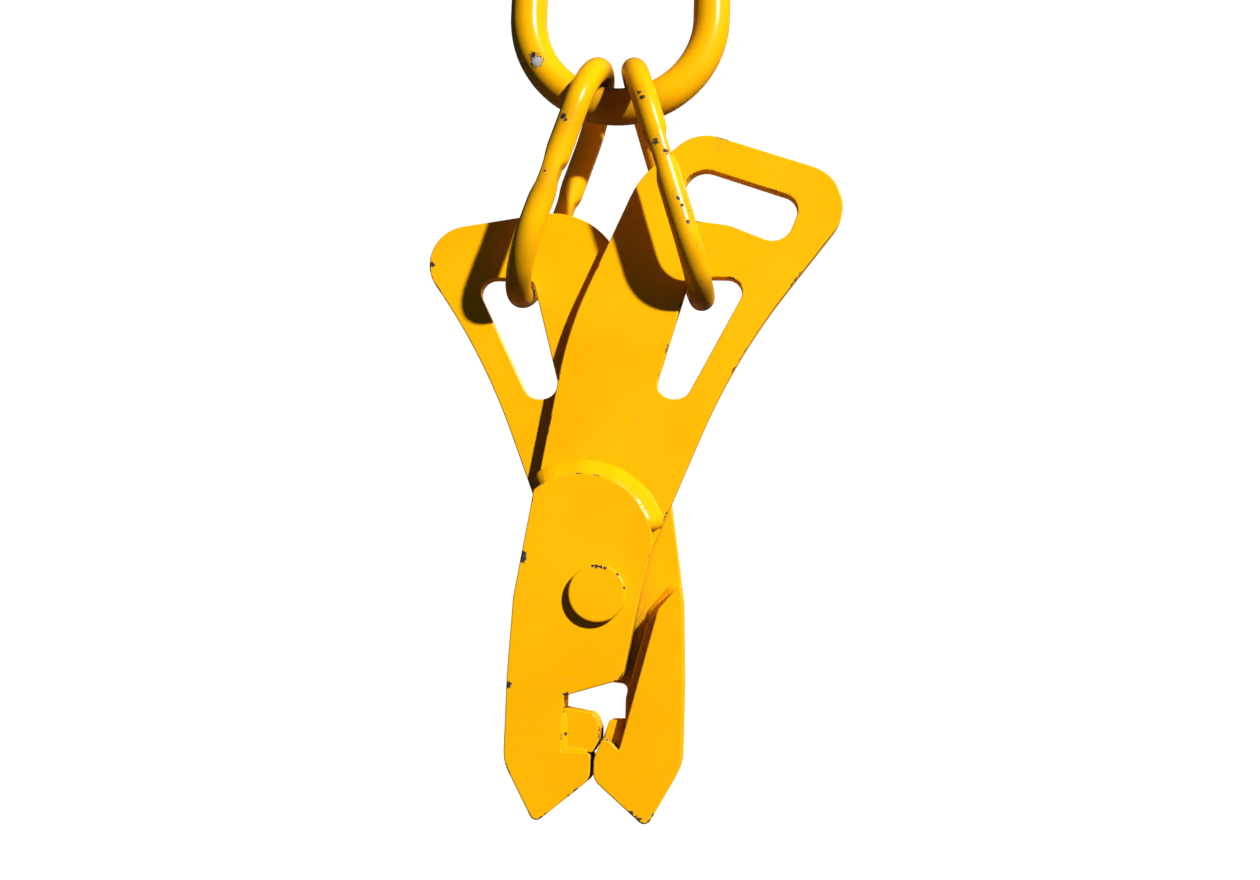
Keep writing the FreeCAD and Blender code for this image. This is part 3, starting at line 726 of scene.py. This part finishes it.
# %% [markdown]
# The press leaves a short flat on both sides of each leg. Its two dies never meet squarely, so each
# flat has a steep shoulder at one end and runs out slowly at the other. The metal that is pushed
# aside makes the bar a little wider the other way. A flat is given by its first slope, its start and
# end along the leg and its last slope, one row for each die.

# %% Press the waists
LINK_BAR = 0.026
WAIST = 0.0175
BULGE = 0.05
FLATS = {"left": ((0.032, 0.010, 0.020, 0.022), (0.008, 0.002, 0.012, 0.022)),
         "right": ((0.010, -0.018, -0.002, 0.020), (0.012, -0.028, -0.012, 0.016))}


def dent(down, ramp_in, start, end, ramp_out):
    share = min(1.0, max(0.0, min((down - start) / ramp_in + 1, (end - down) / ramp_out + 1)))
    return share * share * (3 - 2 * share)


def pressed(link):
    def press(down):
        dents = [dent(down, *flat) for flat in FLATS[link]]
        left, right = [LINK_BAR / 2 - (LINK_BAR - WAIST) / 2 * d for d in dents]
        return left, right, 1 + BULGE * max(dents)
    return press


print("waist halves:", [round(v, 4) for v in pressed("left")(0.005)])

# %% [markdown]
# Both links hang from the ring and splay out to the slots. A link's slope and lengths follow from
# its box: the box is wider than the loop's centre line by one bar each way. Chips and smudges are
# placed by their share of the way down from the crown, then aside from the leg's middle. Each has a
# size, all of them in metres. Where bar rubs on bar or in a slot, a deep dark patch paints the shade
# under the bend and takes off the shine.

# %% Mark the oblong links
CHIPS = {"left": ((0.31, -0.006, 0.006), (0.325, -0.002, 0.004), (0.55, -0.004, 0.004),
                  (0.57, 0.0, 0.0035)),
         "right": ((0.2, -0.005, 0.0045), (0.225, -0.003, 0.0045), (0.42, -0.003, 0.007),
                   (0.46, 0.004, 0.006), (0.66, 0.002, 0.0045), (0.69, 0.004, 0.0035),
                   (0.76, 0.005, 0.004))}
SMUDGES = {"left": ((0.3, -0.005, 0.026), (0.57, -0.006, 0.024), (0.93, -0.008, 0.045)),
           "right": ((0.2, -0.005, 0.018), (0.43, -0.003, 0.028), (0.7, 0.0, 0.034),
                     (0.92, 0.004, 0.04))}
LEG_FRONT = -0.077
THIN_VEIL = 0.16


def link_enamel(link, side, crown, seat):
    def on_leg(share, aside):
        spot = crown.lerp(seat, share)
        return Vector((spot.x + aside, LEG_FRONT, spot.z))
    chips = [(on_leg(share, aside), size) for share, aside, size in CHIPS[link]]
    smudges_and_shade = [(on_leg(share, aside), size, THIN_VEIL) for share, aside, size in SMUDGES[link]]
    # Painted shade: deep dark patches inside the crown and at both sides of the seat.
    smudges_and_shade += marks(crown, (side * -12, -12, -14, 34, 1.0))
    smudges_and_shade += marks(seat, (0, -36, -16, 46, 0.8), (0, 36, -16, 46, 0.8))
    return enamel(link + "_link_enamel", chips=chips, smudges_and_shade=smudges_and_shade)


print("link chips:", {link: len(rows) for link, rows in CHIPS.items()})

# %% [markdown]
# With the finish and the press ready, bending a link is one call of the same sweep as the ring's.
# The loop stands across the arms, so its width runs along the pin and its length down the slope.

# %% Bend the oblong links
for side, link in ((-1, "left"), (1, "right")):
    link_low, link_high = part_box(link + "_sub_link")
    link_middle = (link_low + link_high) / 2
    half = (link_high - link_low) / 2 - Vector((1, 1, 1)) * LINK_BAR / 2
    reach = Vector((side * half.x, 0, -half.z))
    finish = link_enamel(link, side, link_middle - reach, link_middle + reach)
    sweep_bar(link + "_oblong_link", link + "_sub_link", link + "_link", finish, link_middle,
              Vector((0, 1, 0)), reach.normalized(), half.y, 2 * (reach.length - half.y), LINK_BAR,
              pressed(link))
    print(link, "link:", round(2 * reach.length, 4), "from crown to seat")

# %% [markdown]
# ## Pin and washer
# The pin, its head and the washer at the back are turned parts. A turned part is a profile spun
# about its axis, so a list of radius, place along the axis and wear is all that it takes. The
# profiles are in millimetres, from the solids' own sizes, with small chamfers taken off the edges.
# The thin washer between the arms is hardly seen, so its solid stays and only gets the enamel.

# %% Turn a profile
TURNED_AROUND = 96


def turn_profile(name, node, body, profile, finish, bored=False):
    points, wear = [], []
    for radius, y, worn in profile:
        for k in range(TURNED_AROUND):
            angle = 2 * pi * k / TURNED_AROUND
            points.append(PIVOT + Vector((radius * cos(angle), y, radius * sin(angle))) / 1000)
            wear.append(worn)
    faces = skin(len(profile), TURNED_AROUND, joined=bored)
    if not bored:
        faces += ends(len(profile), TURNED_AROUND)
    return make_piece(name, points, faces, body, node, finish, wear)


print("turned profile ready")

# %% [markdown]
# The pin's head has lost paint round its upper rim, so its chips stand in a row there. The washer
# is bored, so its profile is joined to itself and has no ends to close.

# %% Turn the pin and the washer
SHANK = 24
BORE = 24.2
head = pin_high.x * 1000
front = pin_low.y * 1000
tail = pin_high.y * 1000
under = cheek_face.y * 1000
washer_low, washer_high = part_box("pin_washer")
rim = washer_high.x * 1000
near_face = washer_low.y * 1000
far_face = washer_high.y * 1000
pin_enamel = enamel("pin_enamel", chips=marks(
    Vector((0, pin_low.y, PIVOT.z)), (-5, 0, 26.6, 3.5), (-1, 0, 26.4, 4), (3, 0, 25.6, 3.5),
    (7, 0, 24.6, 3), (20, 0, 19, 3.5), (27, 0, 6, 3)))
turn_profile("cross_pin", "pivot_pin", "pivot", [
    (head - 3.5, front, 0), (head - 1.6, front, 0.9), (head - 0.8, front + 0.3, 1),
    (head - 0.2, front + 1, 1), (head, front + 1.8, 0.9), (head, front + 5, 0), (head, under - 0.4, 0),
    (head - 0.4, under, 0), (SHANK + 0.5, under, 0), (SHANK, under + 0.5, 0), (SHANK, tail - 1, 0.4),
    (SHANK - 0.6, tail - 0.2, 1), (SHANK - 1.4, tail, 0.8), (SHANK - 4, tail, 0)], pin_enamel)
turn_profile("back_washer", "pin_washer", "pivot", [
    (BORE, near_face + 0.4, 0), (BORE + 0.4, near_face, 0), (rim - 0.8, near_face, 0),
    (rim, near_face + 0.8, 0.8), (rim, far_face - 0.8, 0.8), (rim - 0.8, far_face, 0.8),
    (rim - 2, far_face, 0), (BORE + 0.4, far_face, 0), (BORE, far_face - 0.4, 0)], pin_enamel, bored=True)
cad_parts["arm_spacer"].data.materials.clear()
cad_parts["arm_spacer"].data.materials.append(plain_enamel)
print("pin head:", round(2 * head, 1), "mm across, washer:", round(2 * rim, 1), "mm")

# %% [markdown]
# ## Welds
# The cheeks are welded round their arcs, the fillers along their sloping tops and the teeth along
# two sides. A weld is a row of frozen puddles, so each bead is swept along its line with a section
# that swells and shrinks with a crescent lag, and it tapers off at both ends. Each step of the line
# has its foot in the corner and the two directions of the bead's legs. Powers of a sine and a cosine
# shape the section: a power of one gives a quarter circle, two gives a straight slope, and a bead
# is between them. Three more points sink its root a little into the corner, so no gap shows.

# %% Lay a weld bead
BEAD_SECTION = 13
BEAD_TAPER = 0.012
RIPPLE = 0.004
SLOW_WAVE = 0.03
ROOT_IN = 0.0008
ROOT_DOWN = 0.0006
FLATNESS = 1.6


def bead_row(foot, outward, upward, leg_out, leg_up, run, size, pitch):
    row = []
    for k in range(BEAD_SECTION):
        angle = pi / 2 * k / (BEAD_SECTION - 1)
        lag = run + 0.35 * pitch * cos(2 * angle)
        wave = 1 + RIPPLE * sin(2 * pi * lag / pitch) + SLOW_WAVE * sin(2 * pi * run / 0.031 + 1.1)
        out = leg_out * size * wave * cos(angle) ** FLATNESS
        rise = leg_up * size * wave * sin(angle) ** FLATNESS
        row.append(foot + outward * out + upward * rise)
    row.append(foot - outward * ROOT_IN + upward * leg_up * size)
    row.append(foot - outward * ROOT_IN - upward * ROOT_DOWN)
    row.append(foot + outward * leg_out * size - upward * ROOT_DOWN)
    return row


def weld_bead(name, node, body, finish, line, leg_out, leg_up, pitch=0.005):
    runs = [0.0]
    for (before, _, _), (here, _, _) in zip(line, line[1:]):
        runs.append(runs[-1] + (here - before).length)
    points = []
    for (foot, outward, upward), run in zip(line, runs):
        taper = min(1.0, min(run, runs[-1] - run) / BEAD_TAPER)
        size = 0.25 + 0.75 * sqrt(taper * (2 - taper))
        points += bead_row(foot, outward, upward, leg_out, leg_up, run, size, pitch)
    around = BEAD_SECTION + 3
    faces = skin(len(line), around) + ends(len(line), around)
    return make_piece(name, points, faces, body, node, finish)


def half_turn(line):
    return [tuple(Vector((-v.x, -v.y, v.z)) for v in step) for step in line]


print("weld helpers ready")

# %% [markdown]
# The cheek's bead is the one that shows most: thick, and laid in one pass round the cheek's arc. Its
# line is an arc too, so an angle is all that changes along it. The plain arm is the handle arm
# turned half round, and so is its bead.

# %% Weld the cheeks
ARC_STEPS = 240
ARC_START = 14
ARC_SWEEP = 114
ARC_RADIUS = 0.0715
CHEEK_LEGS = (0.015, 0.0145)
arc_middle = arm_face + Vector((-19.42, 0, 46.19)) / 1000
toward_front = Vector((0, -1, 0))
cheek_line = []
for i in range(ARC_STEPS + 1):
    angle = radians(ARC_START + ARC_SWEEP * i / ARC_STEPS)
    outward = Vector((cos(angle), 0, sin(angle)))
    cheek_line.append((arc_middle + outward * ARC_RADIUS, outward, toward_front))
weld_bead("handle_cheek_bead", "handle_cheek_weld", "handle_arm", handle_enamel, cheek_line, *CHEEK_LEGS)
weld_bead("plain_cheek_bead", "plain_cheek_weld", "plain_arm", plain_enamel, half_turn(cheek_line),
          *CHEEK_LEGS)
print("cheek beads of", len(cheek_line), "steps")

# %% [markdown]
# The filler's sloping top edge meets the back of its arm, and a smaller bead runs down that corner.
# Only the plain arm's one can be seen from the front, in the gap between the jaws. The line stops a
# little short of both ends of the slope.

# %% Weld the fillers
SLOPE_STEPS = 90
SLOPE_TOP = (-79.83, 12.5)
SLOPE_FOOT = (-47.5, -27.5)
SHORT_BY = 0.04
FILLER_LEGS = (0.0085, 0.0085)
arm_back = Vector((0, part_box("handle_arm_plate")[1].y, PIVOT.z))
slope_top, slope_foot = [arm_back + Vector((x, 0, z)) / 1000 for x, z in (SLOPE_TOP, SLOPE_FOOT)]
ahead = (slope_foot - slope_top).normalized()
uphill = Vector((-ahead.z, 0, ahead.x))
shares = [SHORT_BY + (1 - 2 * SHORT_BY) * i / SLOPE_STEPS for i in range(SLOPE_STEPS + 1)]
filler_line = [(slope_top.lerp(slope_foot, share), uphill, -toward_front) for share in shares]
weld_bead("handle_filler_bead", "handle_guard_weld", "handle_arm", plain_enamel, filler_line, *FILLER_LEGS)
weld_bead("plain_filler_bead", "plain_guard_weld", "plain_arm", plain_enamel, half_turn(filler_line),
          *FILLER_LEGS)
print("filler beads lie along", [round(v, 3) for v in ahead])

# %% [markdown]
# A thin, low bead holds each tooth in its notch, down the root and along the foot. The two teeth
# differ in height and reach, so each line is drawn between the corners of its own weld's box. The
# plain tooth's line is drawn as if on the handle arm, and turned half round like the rest.

# %% Weld the teeth
ROOT_STEPS = 60
FOOT_STEPS = 40
TOOTH_LEGS = (0.005, 0.0014)
TOOTH_PITCH = 0.003
tooth_low, tooth_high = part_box("handle_tooth_weld")
plain_low, plain_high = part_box("plain_tooth_weld")


def tooth_line(head, reach):
    root = Vector((tooth_low.x, tooth_high.y, head))
    corner = Vector((tooth_low.x, tooth_high.y, tooth_low.z))
    nose = Vector((reach, tooth_high.y, tooth_low.z))
    line = [(root.lerp(corner, i / ROOT_STEPS), Vector((1, 0, 0)), toward_front) for i in range(ROOT_STEPS)]
    line += [(corner.lerp(nose, i / FOOT_STEPS), Vector((0, 0, 1)), toward_front)
             for i in range(1, FOOT_STEPS + 1)]
    return line


weld_bead("handle_tooth_bead", "handle_tooth_weld", "handle_arm", handle_enamel,
          tooth_line(tooth_high.z, tooth_high.x), *TOOTH_LEGS, TOOTH_PITCH)
weld_bead("plain_tooth_bead", "plain_tooth_weld", "plain_arm", plain_enamel,
          half_turn(tooth_line(plain_high.z, -plain_low.x)), *TOOTH_LEGS, TOOTH_PITCH)
print("tooth beads of", ROOT_STEPS + FOOT_STEPS, "steps")

# %% [markdown]
# ## Split pin
# A split pin is bright plated wire, the only piece that isn't painted. Drawing the wire leaves fine
# lines along it. A noise that is stretched along the wire gives the lines, the change of tone and
# the dull streaks together.

# %% Finish the split pin
DARK_PLATE = (0.42, 0.41, 0.38)
LIGHT_PLATE = (0.62, 0.61, 0.58)
plated, tree = new_finish("plated_wire")
place = add(tree, "TexCoord", {}).outputs["Object"]
drawn = add(tree, "Mapping", {"Vector": place, "Scale": (0.05, 1.0, 1.0)}).outputs["Vector"]
lines = noise(tree, drawn, 900.0, 3.0)
relief = add(tree, "Bump", {"Height": lines, "Strength": 0.2, "Distance": 0.0003}).outputs["Normal"]
shade(tree, {"Base Color": two_tone(tree, lines, DARK_PLATE, LIGHT_PLATE), "Metallic": 1.0,
             "Roughness": grade(tree, lines, 0.0, 1.0, 0.28, 0.5), "Normal": relief})
print("plated wire nodes:", len(tree.nodes))

# %% [markdown]
# It is one piece of half-round wire, doubled back so that its two flat sides meet, with an eye at
# the bend and the two ends spread. The wire's line is drawn in millimetres in the plane of the eye:
# one leg, the eye, and the leg again in mirror. A half-round section is swept along it, with its
# flat side on the line.

# %% Bend the split pin
WIRE = 3.9
WIRE_SECTION = 13
EYE_AT = 45
EYE_RADIUS = 7
LEG = [(-38, 4.6), (-34, 2.6), (-30, 0.9), (-27, 0.2), (-10, 0.2), (10, 0.2), (32, 0.2), (35.5, 0.9)]
wire_low, wire_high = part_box("split_pin")
wire_y = (wire_low.y + wire_high.y) / 2 * 1000
eye_turns = [radians(angle) for angle in range(160, -161, -8)]
eye = [(EYE_AT + EYE_RADIUS * cos(turn), EYE_RADIUS * sin(turn)) for turn in eye_turns]
wire = LEG + eye + [(x, -z) for x, z in reversed(LEG)]
points = []
for before, here, after in zip(wire[:1] + wire[:-1], wire, wire[1:] + wire[-1:]):
    ahead = Vector((after[0] - before[0], after[1] - before[1])).normalized()
    for k in range(WIRE_SECTION):
        angle = pi * k / (WIRE_SECTION - 1)
        bulge = WIRE * sin(angle)
        spot = Vector((here[0] - ahead.y * bulge, wire_y + WIRE * cos(angle), here[1] + ahead.x * bulge))
        points.append(PIVOT + spot / 1000)
faces = skin(len(wire), WIRE_SECTION) + ends(len(wire), WIRE_SECTION)
make_piece("split_pin_wire", points, faces, "pivot", "split_pin", plated)
print("split pin bent in", len(wire), "steps")
